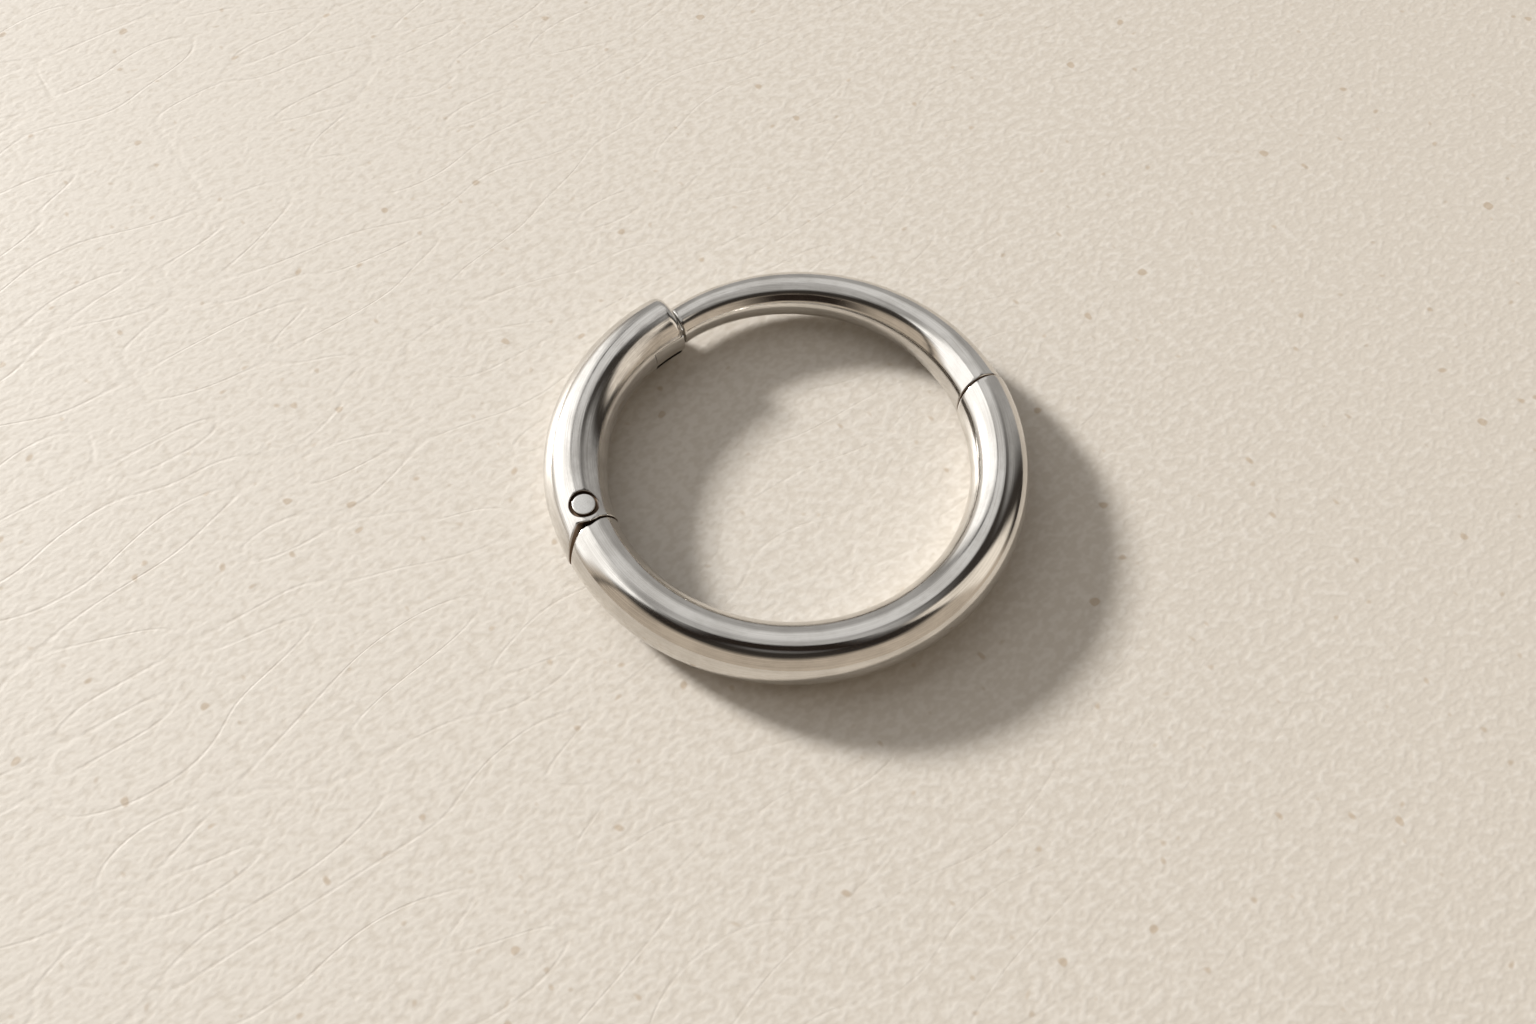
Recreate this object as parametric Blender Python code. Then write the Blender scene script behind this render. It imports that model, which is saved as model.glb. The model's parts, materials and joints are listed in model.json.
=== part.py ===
# Clicker hoop: a hinged ring that lies on its side on a surface at z = 0, +Z up.
# hoop_body is the thick lower and right-hand bar, ear_wire the tapering wire at the top,
# clicker_gate the sleeve that swings on hinge_pin and snaps over the wire's tip.
# Lengths are in metres, angles in degrees about +Z from +X. Meshes are laid out about the ring's
# own centre, and the objects' locations then lay the ring on the surface.

import bmesh
import bpy
from math import asin, cos, degrees, pi, radians, sin, tan
from mathutils import Matrix, Vector

MM = 0.001

# Ring
INNER_DIAMETER = 8.0 * MM
BODY_DIAMETER = 1.29 * MM
GATE_DIAMETER = 1.39 * MM
GATE_DIAMETER_AT_HINGE = 1.32 * MM
WIRE_DIAMETER_AT_SEAM = 1.22 * MM
WIRE_DIAMETER_AT_TIP = 0.84 * MM
GATE_ARC_RADIUS = 4.40 * MM
WIRE_ARC_RADIUS = 4.33 * MM
SEAM_GAP = 0.05 * MM
RUNNING_GAP = 0.04 * MM

# Places round the ring
PIN_ANGLE = 202.8
PIN_INSET = 0.05 * MM
GATE_END_ANGLE = 129.5
GATE_TAPER_ANGLE = 16.0
GATE_OVERLAP = 14.0
WIRE_SEAM_ANGLE = 23.4
WIRE_ARC_START = 38.0

# Hinge: the gate ends in a lug and a domed toe about the pin, the body in a hollow for the dome
OPENING_ANGLE = 25.0
SWING_MARGIN = 3.0
DOME_RADIUS = 1.12 * MM
DOME_HEIGHT = 0.715 * MM
DOME_LATITUDE = 80.0
TOE_ANGLE = 73.0
LUG_RADIUS = 0.43 * MM
SHOULDER_ALONG = 0.385 * MM
SHOULDER_OUTWARD = -0.25 * MM
SHOULDER_SKEW = 6.0
KNUCKLE_RADIUS = 0.44 * MM
KNUCKLE_HALF_HEIGHT = 0.34 * MM
KNUCKLE_ROUNDING = 0.10 * MM
NECK_HALF_HEIGHT = 0.30 * MM
NECK_INNER_EDGE = -0.42 * MM
NECK_OUTER_EDGE = -0.16 * MM
NECK_LENGTH = 0.80 * MM

# Hinge pin
PIN_SHAFT_RADIUS = 0.17 * MM
PIN_HEAD_RADIUS = 0.245 * MM
PIN_HEAD_TOP = 0.645 * MM
PIN_HEAD_GAP = 0.015 * MM
RECESS_RADIUS = 0.315 * MM
RECESS_FLOOR = 0.54 * MM

# Seam between the ear wire and the body
WIRE_SEAM_SKEW = 9.0
WIRE_SEAM_LEAN = 15.0
WIRE_SEAM_OVERLAP = 10.0
SPIGOT_RADIUS = 0.33 * MM
SPIGOT_LENGTH = 0.90 * MM

# Latch
TONGUE_LENGTH = 1.00 * MM
TONGUE_ROOT = 0.25 * MM
TONGUE_HALF_HEIGHT = 0.25 * MM
TONGUE_INNER_EDGE = -0.45 * MM
TONGUE_OUTER_EDGE = 0.08 * MM
TONGUE_INSET = 0.03 * MM
GATE_END_ROUNDING = 0.18 * MM

# Facets
BAR_SIDES = 32
WIRE_SIDES = 24
PIN_SIDES = 24
DOME_SIDES = 48
ROUNDING_STEPS = 3
TONGUE_STEPS = 4
ARC_STEP = 3.0
DOME_STEP = 10.0
FAN_START = -8.0
FAN_STEP = 20.0
SHARP_EDGE_ANGLE = 30.0


def direction(angle):
    return Vector((cos(radians(angle)), sin(radians(angle)), 0.0))


def arc_centre(start_angle, arc_radius):
    """Centre of an arc that leaves the ring's circle smoothly at start_angle."""
    return direction(start_angle) * (RING_RADIUS - arc_radius)


def angle_on_arc(ring_angle, start_angle, arc_radius):
    """Angle, about the centre of such an arc, of the arc's point at ring_angle round the ring."""
    turn = radians(ring_angle - start_angle)
    return ring_angle + degrees(asin((RING_RADIUS - arc_radius) * sin(turn) / arc_radius))


# Worked out from the sizes above. The gate and the wire each follow an arc that is a little
# tighter than the ring's own circle.
UP = Vector((0.0, 0.0, 1.0))
BODY_RADIUS = BODY_DIAMETER / 2
GATE_RADIUS = GATE_DIAMETER / 2
RING_RADIUS = INNER_DIAMETER / 2 + BODY_RADIUS
REACH = 4 * BODY_RADIUS
DEGREES_PER_LENGTH = degrees(1.0 / GATE_ARC_RADIUS)
PIN_POINT = direction(PIN_ANGLE) * (RING_RADIUS - PIN_INSET)
GATE_CENTRE = arc_centre(PIN_ANGLE, GATE_ARC_RADIUS)
WIRE_CENTRE = arc_centre(WIRE_ARC_START, WIRE_ARC_RADIUS)
GATE_END = angle_on_arc(GATE_END_ANGLE, PIN_ANGLE, GATE_ARC_RADIUS)


def wire_radius(ring_angle):
    share = (ring_angle - WIRE_SEAM_ANGLE) / (GATE_END_ANGLE - WIRE_SEAM_ANGLE)
    return (WIRE_DIAMETER_AT_SEAM + (WIRE_DIAMETER_AT_TIP - WIRE_DIAMETER_AT_SEAM) * share) / 2


def gate_radius(angle):
    """Radius of the gate's bar, which thins towards the hinge; the same past the pin."""
    share = min(1.0, max(0.0, 1 - (PIN_ANGLE - angle) / GATE_TAPER_ANGLE))
    return (GATE_DIAMETER + (GATE_DIAMETER_AT_HINGE - GATE_DIAMETER) * share ** 2) / 2


def ring_centre():
    """Where the ring's centre goes, so that the middle of the whole outline is over the origin."""
    left = GATE_CENTRE.x - GATE_ARC_RADIUS - GATE_RADIUS
    right = RING_RADIUS + BODY_RADIUS
    front = -RING_RADIUS - BODY_RADIUS
    back = WIRE_CENTRE.y + WIRE_ARC_RADIUS + wire_radius(90.0)
    height = GATE_RADIUS * cos(pi / BAR_SIDES)
    return Vector((-(left + right) / 2, -(front + back) / 2, height))


def steps(start, end, step=ARC_STEP):
    """Even values from start to end, both included, about step apart."""
    count = max(1, round(abs(end - start) / step))
    return [start + (end - start) * i / count for i in range(count + 1)]


def add_object(name, build_mesh, material=None, origin=Vector()):
    """Object whose mesh is built about the ring's centre, with its own origin at a point there."""
    mesh = bpy.data.meshes.new(name)
    bm = bmesh.new()
    build_mesh(bm)
    bmesh.ops.recalc_face_normals(bm, faces=bm.faces)
    bm.to_mesh(mesh)
    bm.free()
    mesh.transform(Matrix.Translation(-origin))
    part = bpy.data.objects.new(name, mesh)
    part.location = ring_centre() + origin
    bpy.context.scene.collection.objects.link(part)
    if material:
        mesh.materials.append(material)
        mesh.shade_smooth()
        mesh.set_sharp_from_angle(angle=radians(SHARP_EDGE_ANGLE))
    return part


def use_cutter(part, operation, name, build_mesh):
    """Boolean on part with a hidden solid of its own; returns that solid."""
    cutter = add_object(name, build_mesh)
    cutter.hide_render = True
    cutter.display_type = 'WIRE'
    modifier = part.modifiers.new(name, 'BOOLEAN')
    modifier.operation = operation
    modifier.object = cutter
    modifier.solver = 'EXACT'
    return cutter


def add_material(name, colour, roughness):
    material = bpy.data.materials.new(name)
    material.use_nodes = True
    shader = material.node_tree.nodes['Principled BSDF']
    shader.inputs['Base Color'].default_value = (*colour, 1.0)
    shader.inputs['Roughness'].default_value = roughness
    shader.inputs['Metallic'].default_value = 1.0
    return material


def loft(bm, rings):
    """Closed solid through equal rings of points, with a flat cap at each end."""
    loops = [[bm.verts.new(point) for point in ring] for ring in rings]
    sides = len(loops[0])
    for first, second in zip(loops, loops[1:]):
        for i in range(sides):
            j = (i + 1) % sides
            bm.faces.new((first[i], first[j], second[j], second[i]))
    bm.faces.new(loops[0])
    bm.faces.new(loops[-1])


def prism(bm, outline, bottom, top):
    loft(bm, [[point + UP * height for point in outline] for height in (bottom, top)])


def turned(bm, centre, profile, sides):
    """Solid of revolution about an upright axis; profile holds (radius, height) from the bottom up."""
    rings = []
    for radius, height in profile:
        rings.append([centre + direction(360 * i / sides) * radius + UP * height for i in range(sides)])
    loft(bm, rings)


def section(centre, outward, radius, sides):
    """Round section in the plane of outward and +Z, with a flat facet underneath."""
    points = []
    for i in range(sides):
        turn = 2 * pi * (i + 0.5) / sides - pi / 2
        points.append(centre + outward * (radius * cos(turn)) + UP * (radius * sin(turn)))
    return points


def arc_section(centre, arc_radius, angle, radius, sides):
    return section(centre + direction(angle) * arc_radius, direction(angle), radius, sides)


def ring_bar(bm, start, end, radius, sides):
    """Round bar of one thickness along the ring's own circle."""
    loft(bm, [arc_section(Vector(), RING_RADIUS, angle, radius, sides) for angle in steps(start, end)])


def hinge_point(along, outward):
    """Plan point beside the pin: along the ring towards the body, and outward from the ring."""
    return PIN_POINT + direction(PIN_ANGLE + 90) * along + direction(PIN_ANGLE) * outward


def shoulder(gap):
    """Plan line of the body's end on the ring's inner side, moved towards the gate by gap."""
    slope = tan(radians(SHOULDER_SKEW))
    return [PIN_POINT,
            hinge_point(SHOULDER_ALONG - gap, SHOULDER_OUTWARD),
            hinge_point(SHOULDER_ALONG - gap - slope * REACH, SHOULDER_OUTWARD - REACH)]


def gate_side(bm):
    """Room for the gate on the ring's inner side, up to the body's shoulder."""
    outline = shoulder(0.0) + [hinge_point(-REACH, SHOULDER_OUTWARD - REACH), hinge_point(-REACH, 0.0)]
    prism(bm, outline, -GATE_DIAMETER, GATE_DIAMETER)


def body_side(bm):
    """Everything on the body's side of the shoulder and the pin, less the gap."""
    outline = shoulder(RUNNING_GAP) + [hinge_point(REACH, SHOULDER_OUTWARD - REACH),
                                       hinge_point(REACH, REACH), hinge_point(0.0, REACH)]
    prism(bm, outline, -GATE_DIAMETER, GATE_DIAMETER)


def lug(bm, gap):
    """Upright cylinder about the pin: the gate's lugs, or the room for them when there is a gap."""
    turned(bm, PIN_POINT, [(LUG_RADIUS + gap, -GATE_DIAMETER), (LUG_RADIUS + gap, GATE_DIAMETER)],
           DOME_SIDES)


def dome(bm, inset):
    """Ellipsoid about the pin: the body's hollow, or the gate's toe when it is inset by the gap."""
    profile = []
    for latitude in steps(-DOME_LATITUDE, DOME_LATITUDE, DOME_STEP):
        profile.append(((DOME_RADIUS - inset) * cos(radians(latitude)),
                        (DOME_HEIGHT - inset) * sin(radians(latitude))))
    turned(bm, PIN_POINT, profile, DOME_SIDES)


def fan(bm, last):
    """Sector about the pin from just past the outward direction, round towards the body, to last."""
    rays = [direction(PIN_ANGLE + angle) for angle in steps(FAN_START, last, FAN_STEP)]
    prism(bm, [PIN_POINT] + [PIN_POINT + ray * REACH for ray in rays], -GATE_DIAMETER, GATE_DIAMETER)


def knuckle(bm, gap):
    """Barrel round the pin with softened edges, or its pocket when there is a gap."""
    radius = KNUCKLE_RADIUS + gap
    height = KNUCKLE_HALF_HEIGHT + gap
    corner = KNUCKLE_ROUNDING * (1 - cos(pi / 4))
    upper = [(radius, height - KNUCKLE_ROUNDING),
             (radius - corner, height - corner),
             (radius - KNUCKLE_ROUNDING, height)]
    turned(bm, PIN_POINT, [(r, -h) for r, h in reversed(upper)] + upper, BAR_SIDES)


def neck(bm, gap):
    """Block that joins the knuckle to the body, or the room for it when there is a gap."""
    inner = NECK_INNER_EDGE - gap
    outer = NECK_OUTER_EDGE + gap
    outline = [hinge_point(0.0, inner), hinge_point(NECK_LENGTH, inner),
               hinge_point(NECK_LENGTH, outer), hinge_point(0.0, outer)]
    prism(bm, outline, -NECK_HALF_HEIGHT - gap, NECK_HALF_HEIGHT + gap)


def pin_hole(bm):
    radius = PIN_SHAFT_RADIUS + RUNNING_GAP
    turned(bm, PIN_POINT, [(radius, -GATE_DIAMETER), (radius, GATE_DIAMETER)], PIN_SIDES)


def recess(bm, side):
    """Round sinking for a pin head, above the gate for side 1 and below it for side -1."""
    heights = sorted((RECESS_FLOOR * side, GATE_DIAMETER * side))
    turned(bm, PIN_POINT, [(RECESS_RADIUS, height) for height in heights], BAR_SIDES)


def seam_block(bm, start, end):
    """Block across the bar between two distances along the wire from the slanted seam's middle."""
    middle = direction(WIRE_SEAM_ANGLE) * RING_RADIUS
    outward = direction(WIRE_SEAM_ANGLE + WIRE_SEAM_SKEW)
    level_along = direction(WIRE_SEAM_ANGLE + WIRE_SEAM_SKEW + 90)
    lean = radians(WIRE_SEAM_LEAN)
    along = level_along * cos(lean) - UP * sin(lean)
    upward = level_along * sin(lean) + UP * cos(lean)
    half = REACH / 2
    corners = [(-half, -half), (half, -half), (half, half), (-half, half)]
    loft(bm, [[middle + along * place + outward * a + upward * b for a, b in corners]
              for place in (start, end)])


def spigot(bm, gap):
    """Short bar across the seam, or its blind bore in the body when there is a gap."""
    reach = degrees((SPIGOT_LENGTH + gap) / RING_RADIUS)
    ring_bar(bm, WIRE_SEAM_ANGLE - reach, WIRE_SEAM_ANGLE + reach, SPIGOT_RADIUS + gap, WIRE_SIDES)


def gate_point(depth, outward):
    """Plan point in the gate's frame: depth past its free end, and outward from its centreline."""
    angle = GATE_END + depth * DEGREES_PER_LENGTH
    return GATE_CENTRE + direction(angle) * (GATE_ARC_RADIUS + outward)


def tongue(bm, gap):
    """Flat tongue of the wire, stepped in where it leaves the gate; its slot when there is a gap."""
    height = TONGUE_HALF_HEIGHT + gap
    length = TONGUE_LENGTH + gap
    depths = steps(0.0, length, length / TONGUE_STEPS)
    if gap:
        outline = [gate_point(depth, TONGUE_OUTER_EDGE + gap) for depth in [-TONGUE_ROOT] + depths]
        outline += [gate_point(depth, -GATE_DIAMETER) for depth in reversed([-TONGUE_ROOT] + depths)]
    else:
        outline = [gate_point(depth, TONGUE_OUTER_EDGE) for depth in [-TONGUE_ROOT] + depths]
        outline += [gate_point(depth, -GATE_DIAMETER) for depth in reversed(depths[1:])]
        outline += [gate_point(SEAM_GAP, -GATE_DIAMETER), gate_point(SEAM_GAP, TONGUE_INNER_EDGE),
                    gate_point(-TONGUE_ROOT, TONGUE_INNER_EDGE)]
    prism(bm, outline, -height, height)


def gate_bore(bm):
    """Bar just inside the gate's surface, which gives the tongue its curved inner edge."""
    reach = 2 * TONGUE_LENGTH * DEGREES_PER_LENGTH
    loft(bm, [arc_section(GATE_CENTRE, GATE_ARC_RADIUS, angle, GATE_RADIUS - TONGUE_INSET, BAR_SIDES)
              for angle in steps(GATE_END - reach, GATE_END + reach)])


def beyond_gate_end(bm):
    """Everything past the gate's free end face, less the seam's gap."""
    outline = [gate_point(-SEAM_GAP, REACH), gate_point(REACH, REACH),
               gate_point(REACH, -REACH), gate_point(-SEAM_GAP, -REACH)]
    prism(bm, outline, -BODY_DIAMETER, BODY_DIAMETER)


def make_hoop_body():
    body = add_object('hoop_body', lambda bm: ring_bar(
        bm, PIN_ANGLE, 360 + WIRE_SEAM_ANGLE + WIRE_SEAM_OVERLAP, BODY_RADIUS, BAR_SIDES),
        add_material('body_steel', (0.74, 0.72, 0.70), 0.16))
    use_cutter(body, 'DIFFERENCE', 'shoulder_cut', gate_side)
    use_cutter(body, 'DIFFERENCE', 'lug_room', lambda bm: lug(bm, RUNNING_GAP))
    hollow = use_cutter(body, 'DIFFERENCE', 'dome_hollow', lambda bm: dome(bm, 0.0))
    use_cutter(hollow, 'INTERSECT', 'hollow_sector', lambda bm: fan(
        bm, TOE_ANGLE + OPENING_ANGLE + SWING_MARGIN))
    use_cutter(body, 'UNION', 'neck_block', lambda bm: neck(bm, 0.0))
    use_cutter(body, 'UNION', 'knuckle_barrel', lambda bm: knuckle(bm, 0.0))
    use_cutter(body, 'DIFFERENCE', 'knuckle_hole', pin_hole)
    use_cutter(body, 'DIFFERENCE', 'body_seam_cut', lambda bm: seam_block(bm, -SEAM_GAP / 2, REACH))
    use_cutter(body, 'DIFFERENCE', 'spigot_bore', lambda bm: spigot(bm, RUNNING_GAP))


def wire_rings():
    """Sections of the ear wire: along the ring's circle first, then along the wire's own arc."""
    rings = []
    for angle in steps(WIRE_SEAM_ANGLE - WIRE_SEAM_OVERLAP, WIRE_ARC_START):
        rings.append(arc_section(Vector(), RING_RADIUS, angle, wire_radius(angle), WIRE_SIDES))
    for angle in steps(WIRE_ARC_START, GATE_END_ANGLE + WIRE_SEAM_OVERLAP)[1:]:
        turn = angle_on_arc(angle, WIRE_ARC_START, WIRE_ARC_RADIUS)
        rings.append(arc_section(WIRE_CENTRE, WIRE_ARC_RADIUS, turn, wire_radius(angle), WIRE_SIDES))
    return rings


def make_ear_wire():
    wire = add_object('ear_wire', lambda bm: loft(bm, wire_rings()),
                      add_material('wire_steel', (0.76, 0.74, 0.72), 0.14))
    use_cutter(wire, 'DIFFERENCE', 'wire_seam_cut', lambda bm: seam_block(bm, -REACH, SEAM_GAP / 2))
    use_cutter(wire, 'UNION', 'spigot_bar', lambda bm: spigot(bm, 0.0))
    use_cutter(wire, 'DIFFERENCE', 'wire_tip_cut', beyond_gate_end)
    tongue_block = use_cutter(wire, 'UNION', 'tongue_block', lambda bm: tongue(bm, 0.0))
    use_cutter(tongue_block, 'INTERSECT', 'tongue_edge', gate_bore)


def gate_rings():
    """Sections of the gate from its rounded free end to past the hinge."""
    rings = []
    for i in range(ROUNDING_STEPS):
        turn = pi / 2 * i / ROUNDING_STEPS
        angle = GATE_END + GATE_END_ROUNDING * (1 - cos(turn)) * DEGREES_PER_LENGTH
        radius = GATE_RADIUS - GATE_END_ROUNDING * (1 - sin(turn))
        rings.append(arc_section(GATE_CENTRE, GATE_ARC_RADIUS, angle, radius, BAR_SIDES))
    for angle in steps(GATE_END + GATE_END_ROUNDING * DEGREES_PER_LENGTH, PIN_ANGLE):
        rings.append(arc_section(GATE_CENTRE, GATE_ARC_RADIUS, angle, gate_radius(angle), BAR_SIDES))
    for angle in steps(PIN_ANGLE, PIN_ANGLE + GATE_OVERLAP)[1:]:
        rings.append(arc_section(Vector(), RING_RADIUS, angle, gate_radius(angle), BAR_SIDES))
    return rings


def make_clicker_gate():
    gate = add_object('clicker_gate', lambda bm: loft(bm, gate_rings()),
                      add_material('gate_steel', (0.75, 0.73, 0.71), 0.18), PIN_POINT)
    # The gate ends at the shoulder, but keeps its lugs and the toe that turns in the body's hollow.
    past_end = use_cutter(gate, 'DIFFERENCE', 'past_gate', body_side)
    use_cutter(past_end, 'DIFFERENCE', 'kept_lug', lambda bm: lug(bm, 0.0))
    kept_toe = use_cutter(past_end, 'DIFFERENCE', 'kept_toe', lambda bm: dome(bm, RUNNING_GAP))
    use_cutter(kept_toe, 'INTERSECT', 'toe_sector', lambda bm: fan(bm, TOE_ANGLE))
    use_cutter(gate, 'DIFFERENCE', 'knuckle_pocket', lambda bm: knuckle(bm, RUNNING_GAP))
    use_cutter(gate, 'DIFFERENCE', 'neck_room', lambda bm: neck(bm, RUNNING_GAP))
    use_cutter(gate, 'DIFFERENCE', 'gate_pin_hole', pin_hole)
    use_cutter(gate, 'DIFFERENCE', 'recess_above', lambda bm: recess(bm, 1))
    use_cutter(gate, 'DIFFERENCE', 'recess_below', lambda bm: recess(bm, -1))
    use_cutter(gate, 'DIFFERENCE', 'latch_slot', lambda bm: tongue(bm, RUNNING_GAP))


def make_hinge_pin():
    under_head = RECESS_FLOOR + PIN_HEAD_GAP
    upper = [(PIN_SHAFT_RADIUS, under_head),
             (PIN_HEAD_RADIUS, under_head),
             (PIN_HEAD_RADIUS, PIN_HEAD_TOP)]
    profile = [(r, -h) for r, h in reversed(upper)] + upper
    add_object('hinge_pin', lambda bm: turned(bm, PIN_POINT, profile, PIN_SIDES),
               add_material('pin_steel', (0.66, 0.65, 0.64), 0.34), PIN_POINT)


def main():
    for old in list(bpy.data.objects):
        bpy.data.objects.remove(old, do_unlink=True)
    make_hoop_body()
    make_ear_wire()
    make_clicker_gate()
    make_hinge_pin()


main()
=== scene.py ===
import json
from math import atan2, cos, degrees, pi, radians, sin, sqrt, tan

import bmesh
import bpy
import numpy as np
from mathutils import Matrix, Vector


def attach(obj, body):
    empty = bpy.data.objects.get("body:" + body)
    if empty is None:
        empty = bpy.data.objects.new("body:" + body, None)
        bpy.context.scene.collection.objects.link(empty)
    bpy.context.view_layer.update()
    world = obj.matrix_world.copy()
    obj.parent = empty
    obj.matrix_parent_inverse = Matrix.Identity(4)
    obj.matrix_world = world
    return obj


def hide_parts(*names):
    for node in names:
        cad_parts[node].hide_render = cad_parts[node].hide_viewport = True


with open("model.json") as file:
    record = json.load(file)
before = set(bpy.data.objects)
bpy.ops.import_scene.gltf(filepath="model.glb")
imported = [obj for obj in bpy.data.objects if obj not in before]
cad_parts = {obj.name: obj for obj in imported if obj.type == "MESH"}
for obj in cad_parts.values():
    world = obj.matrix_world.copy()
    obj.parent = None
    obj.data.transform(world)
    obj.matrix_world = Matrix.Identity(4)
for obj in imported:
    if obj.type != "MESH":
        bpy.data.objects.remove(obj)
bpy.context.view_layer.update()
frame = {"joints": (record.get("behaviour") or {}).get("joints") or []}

mm = 0.001

# where the ring is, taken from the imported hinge, and how its bars run round it
ring = dict(
    radius=4.645 * mm,            # middle line of the round bar
    pinAngle=202.8,               # degrees about +Z from +X, as all angles round the ring
    pinInset=0.05 * mm,           # the pin stands a little inside the middle line
    gateEndAngle=129.5,
    seamAngle=23.4,
    gateArcRadius=4.40 * mm,      # the gate leaves the ring's circle at the pin on this arc
    wireArcRadius=4.33 * mm,      # and the ear wire on this one
    wireArcStart=38.0,
)


def direction(angle):
    return Vector((cos(radians(angle)), sin(radians(angle)), 0.0))


pinPoint = Vector(frame["joints"][0]["pos_m"])
ringCentre = pinPoint - direction(ring["pinAngle"]) * (ring["radius"] - ring["pinInset"])
bodyArc = dict(start=ring["pinAngle"], radius=ring["radius"], side=1)
gateArc = dict(start=ring["pinAngle"], radius=ring["gateArcRadius"], side=-1)
wireArc = dict(start=ring["wireArcStart"], radius=ring["wireArcRadius"], side=1)


# bars: a round bar along its arc, trimmed at each end by a distance function that is
# positive inside the piece, with a rounded rim and a closed end face
search = dict(places=61, halvings=30)     # how finely the end of each line along a bar is looked for
plainFaceShares = (0.3, 0.6, 0.85)        # rings of an end face, as shares of its radius
hingeFaceShares = (0.12, 0.3, 0.5, 0.65, 0.76, 0.84, 0.90, 0.94, 0.97, 0.99)


def barFrame(arc, angle):
    # for places round the ring: bend centre x and y, bend radius, and the way out of the bend
    bend = np.where((angle - arc["start"]) * arc["side"] > 0, arc["radius"], ring["radius"])
    offset = ring["radius"] - bend
    out = np.radians(angle) + np.arcsin(offset * np.sin(np.radians(angle - arc["start"])) / bend)
    start = radians(arc["start"])
    return ringCentre.x + cos(start) * offset, ringCentre.y + sin(start) * offset, bend, out


def barPoints(path, angle, around, radius):
    x, y, bend, out = barFrame(path["arc"], angle)
    reach = bend + radius * np.cos(around)
    return np.stack([x + np.cos(out) * reach, y + np.sin(out) * reach,
                     ringCentre.z + radius * np.sin(around)], -1)


def near(angle, span):
    return [angle + end for end in span]


def solveAngles(path, end, around, inset, share, depth):
    # where each line along the bar has the asked distance to the end's surface; of several
    # such places it takes the one furthest into the piece
    places = np.linspace(*end["between"], search["places"])

    def excess(angle):
        radius = (path["radiusAt"](angle) - inset) * share
        return end["distance"](barPoints(path, angle, around, radius)) - depth

    outside = np.stack([excess(np.full(around.shape, place)) < 0 for place in places])
    count = len(places)
    if end["insideIsHigher"]:
        lowPlace = np.where(outside.any(0), count - 1 - outside[::-1].argmax(0), 0)
        lowPlace = np.minimum(lowPlace, count - 2)
    else:
        lowPlace = np.maximum(np.where(outside.any(0), outside.argmax(0), count - 1) - 1, 0)
    low = places[lowPlace]
    high = places[lowPlace + 1]
    lowSide = excess(low) > 0
    for _ in range(search["halvings"]):
        middle = (low + high) / 2
        same = (excess(middle) > 0) == lowSide
        low = np.where(same, middle, low)
        high = np.where(same, high, middle)
    return (low + high) / 2


def endRings(path, end, around):
    # from the middle of the end face out to the rim and round it
    rings = []
    rounding = end["rounding"]
    for share in end["faceShares"]:
        angle = solveAngles(path, end, around, rounding, share, 0.0)
        rings.append(barPoints(path, angle, around, (path["radiusAt"](angle) - rounding) * share))
    for i in range(end["rimSteps"] + 1):
        turn = pi / 2 * i / end["rimSteps"]
        inset = rounding * (1 - sin(turn))
        depth = rounding * (1 - cos(turn))
        angle = solveAngles(path, end, around, inset, 1.0, depth)
        rings.append(barPoints(path, angle, around, path["radiusAt"](angle) - inset))
    return rings, angle


def wallFaces(ringCount, sides):
    faces = []
    for r in range(ringCount - 1):
        for i in range(sides):
            j = (i + 1) % sides
            faces.append((r * sides + i, r * sides + j, (r + 1) * sides + j, (r + 1) * sides + i))
    return faces


def makeBar(name, path, first, last, sides, step):
    around = np.linspace(-pi / 2, 3 * pi / 2, sides, endpoint=False)
    firstRings, firstAngles = endRings(path, first, around)
    lastRings, lastAngles = endRings(path, last, around)
    count = round((lastAngles.mean() - firstAngles.mean()) / step)
    rings = firstRings
    for i in range(1, count):
        angle = firstAngles + (lastAngles - firstAngles) * i / count
        rings.append(barPoints(path, angle, around, path["radiusAt"](angle)))
    rings = rings + lastRings[::-1]
    points = np.concatenate(rings)
    ends = [rings[0].mean(0), rings[-1].mean(0)]
    faces = wallFaces(len(rings), sides)
    total = len(points)
    for i in range(sides):
        j = (i + 1) % sides
        faces.append((total, j, i))
        faces.append((total + 1, total - sides + i, total - sides + j))
    return makeObject(name, [*points, *ends], faces)


def makeObject(name, points, faces):
    mesh = bpy.data.meshes.new(name)
    mesh.from_pydata([tuple(p) for p in points], [], faces)
    bm = bmesh.new()
    bm.from_mesh(mesh)
    bmesh.ops.recalc_face_normals(bm, faces=bm.faces)
    bm.to_mesh(mesh)
    bm.free()
    thing = bpy.data.objects.new(name, mesh)
    bpy.context.scene.collection.objects.link(thing)
    return thing


def makeLoft(name, rings):
    # closed solid through equal rings of points with a flat cap at each end
    sides = len(rings[0])
    caps = [tuple(range(sides)), tuple(range((len(rings) - 1) * sides, len(rings) * sides))]
    return makeObject(name, [p for loop in rings for p in loop], caps + wallFaces(len(rings), sides))


def makeTurned(name, profile, sides):
    # profile holds (radius, height) about the pin's axis, from the bottom up
    rings = []
    for radius, height in profile:
        rings.append([pinPoint + direction(360 * i / sides) * radius + Vector((0, 0, height))
                      for i in range(sides)])
    return makeLoft(name, rings)


def makePrism(name, outline, halfHeight):
    lift = Vector((0, 0, halfHeight))
    return makeLoft(name, [[p - lift for p in outline], [p + lift for p in outline]])


def roundedCorner(radius, height, rounding, steps):
    # for a turned profile: a quarter round in the corner between its side and its top
    corner = []
    for i in range(steps + 1):
        turn = pi / 2 * i / steps
        corner.append((radius - rounding * (1 - cos(turn)), height - rounding * (1 - sin(turn))))
    return corner


def withLowerHalf(upper):
    return [(radius, -height) for radius, height in reversed(upper)] + upper


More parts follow.
